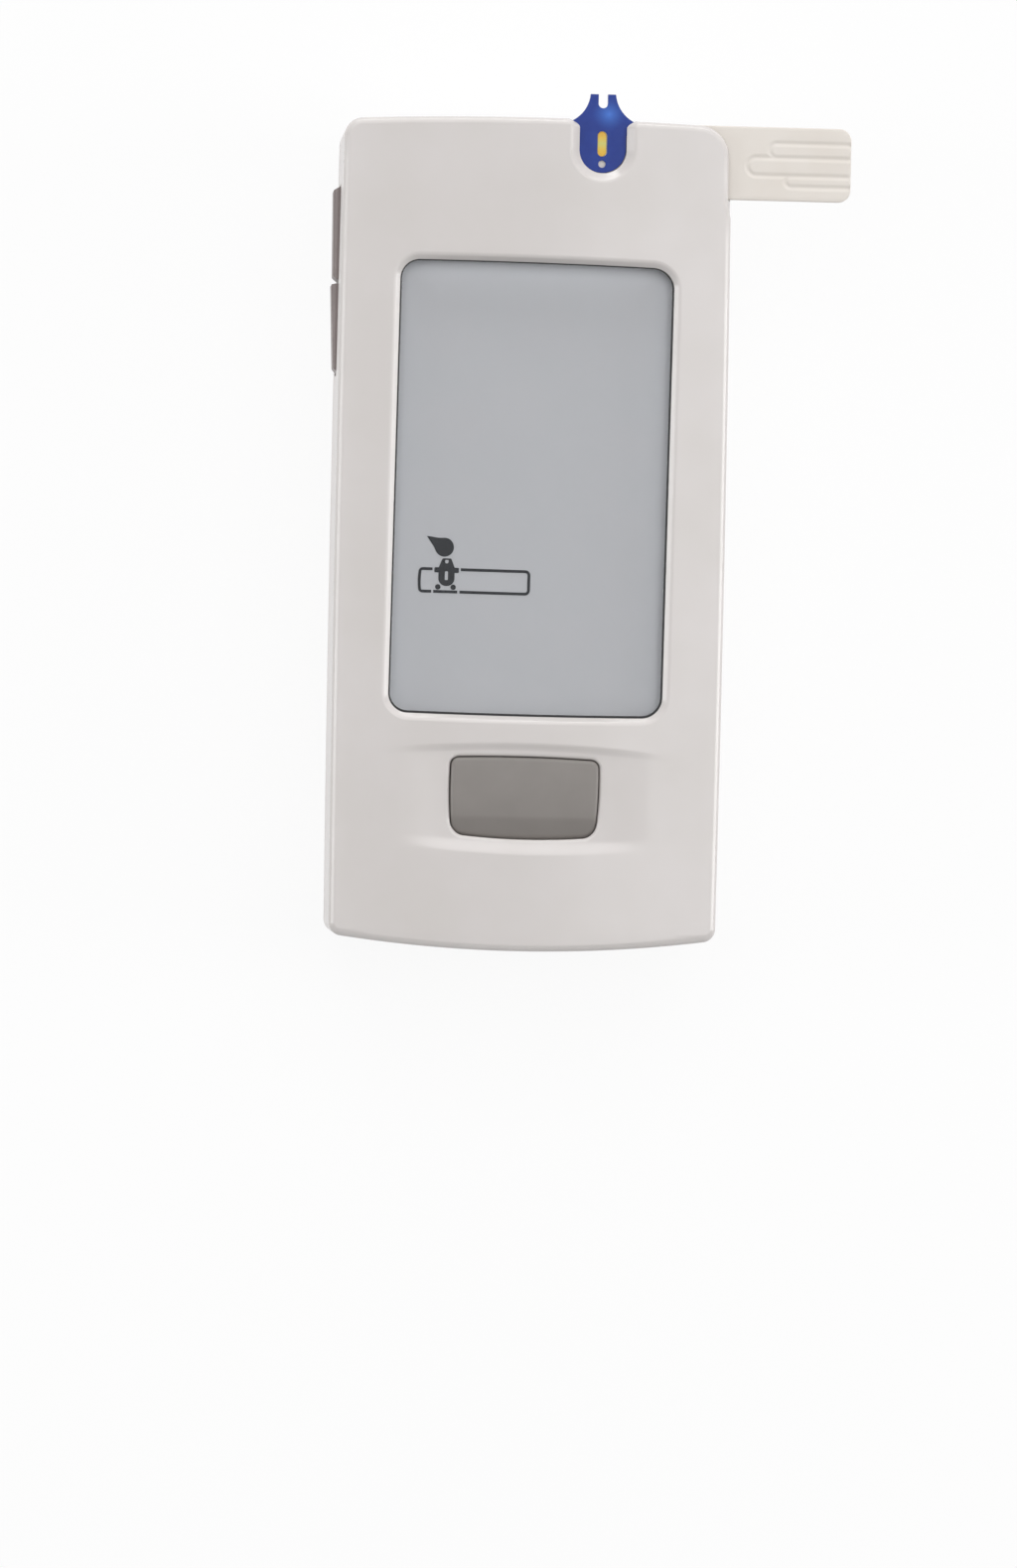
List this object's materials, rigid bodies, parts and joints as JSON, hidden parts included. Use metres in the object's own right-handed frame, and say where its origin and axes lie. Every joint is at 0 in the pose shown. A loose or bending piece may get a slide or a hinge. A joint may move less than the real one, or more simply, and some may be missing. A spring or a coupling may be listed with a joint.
{
  "type": "blood glucose meter",
  "caption": "Hand-held blood glucose meter with crowned white housing, large display, front button, side keys, sliding battery door and a test strip in its socket.",
  "frame": {"origin": "centre of the flat back face, on the housing's middle lines", "axes": "+X to the meter's right, +Y to the strip end, +Z out of the display"},
  "size_m": [0.0589, 0.0979, 0.023],
  "materials": {
    "housing": "glossy warm white",
    "clear_window": "clear polished plastic",
    "adhesive": "thin black foam tape",
    "lcd_face": "plain grey film",
    "lcd_glass": "thin float glass",
    "reflector": "matt metallised film",
    "inner_plastic": "unpainted moulding",
    "elastomer": "striped silicone",
    "board": "solder mask",
    "chip": "moulded epoxy",
    "tinned": "tinned",
    "ceramic": "fired ceramic",
    "socket_plastic": "moulded",
    "gold_contact": "gold plated",
    "button": "satin taupe",
    "cell_jacket": "plain wrapped jacket",
    "nickel": "nickel plated",
    "screw_steel": "zinc plated",
    "strip_plastic": "ivory moulding",
    "head_plastic": "glossy translucent blue",
    "film": "amber reagent layer"
  },
  "bodies": {
    "housing": {"front_cover": "housing", "back_cover": "housing", "display_window": "clear_window", "window_adhesive": "adhesive", "lcd_polariser": "lcd_face", "lcd_front_glass": "lcd_glass", "lcd_rear_glass": "lcd_glass", "lcd_reflector": "reflector", "lcd_frame": "inner_plastic", "zebra_connector": "elastomer", "circuit_board": "board", "processor_chip": "chip", "processor_leads": "tinned", "amplifier_chip": "chip", "memory_chip": "chip", "clock_crystal": "tinned", "board_capacitors": "ceramic", "board_resistors": "chip", "piezo_buzzer": "chip", "strip_socket": "socket_plastic", "socket_contacts": "gold_contact", "main_switch": "socket_plastic", "up_switch": "socket_plastic", "down_switch": "socket_plastic", "battery_left": "cell_jacket", "battery_right": "cell_jacket", "battery_nubs": "nickel", "battery_springs": "nickel", "battery_bridge": "nickel", "positive_terminal": "nickel", "negative_terminal": "nickel", "board_screws": "screw_steel", "housing_screws": "screw_steel"},
    "main_button": {"main_button": "button", "main_switch_stem": "inner_plastic"},
    "up_key": {"up_key": "button", "up_switch_stem": "inner_plastic"},
    "down_key": {"down_key": "button", "down_switch_stem": "inner_plastic"},
    "battery_door": {"battery_door": "housing"},
    "test_strip": {"strip_carrier": "strip_plastic", "strip_head": "head_plastic", "strip_reaction_film": "film", "strip_electrodes": "gold_contact"}
  },
  "joints": [
    {"name": "main_button_press", "type": "slide", "parent": "housing", "child": "main_button", "axis": [0, 0, -1], "range_m": [0, 0.0005], "stiffness_N_per_m": 600, "springref_m": -0.0005},
    {"name": "up_key_press", "type": "slide", "parent": "housing", "child": "up_key", "axis": [1, 0, 0], "range_m": [0, 0.0004], "stiffness_N_per_m": 600, "springref_m": -0.0005},
    {"name": "down_key_press", "type": "slide", "parent": "housing", "child": "down_key", "axis": [1, 0, 0], "range_m": [0, 0.0004], "stiffness_N_per_m": 600, "springref_m": -0.0005},
    {"name": "battery_door_slide", "type": "slide", "parent": "housing", "child": "battery_door", "axis": [0, -1, 0], "range_m": [0, 0.0085]},
    {"name": "strip_slide", "type": "slide", "parent": "housing", "child": "test_strip", "axis": [1, 0, 0], "range_m": [0, 0.025]}
  ]
}
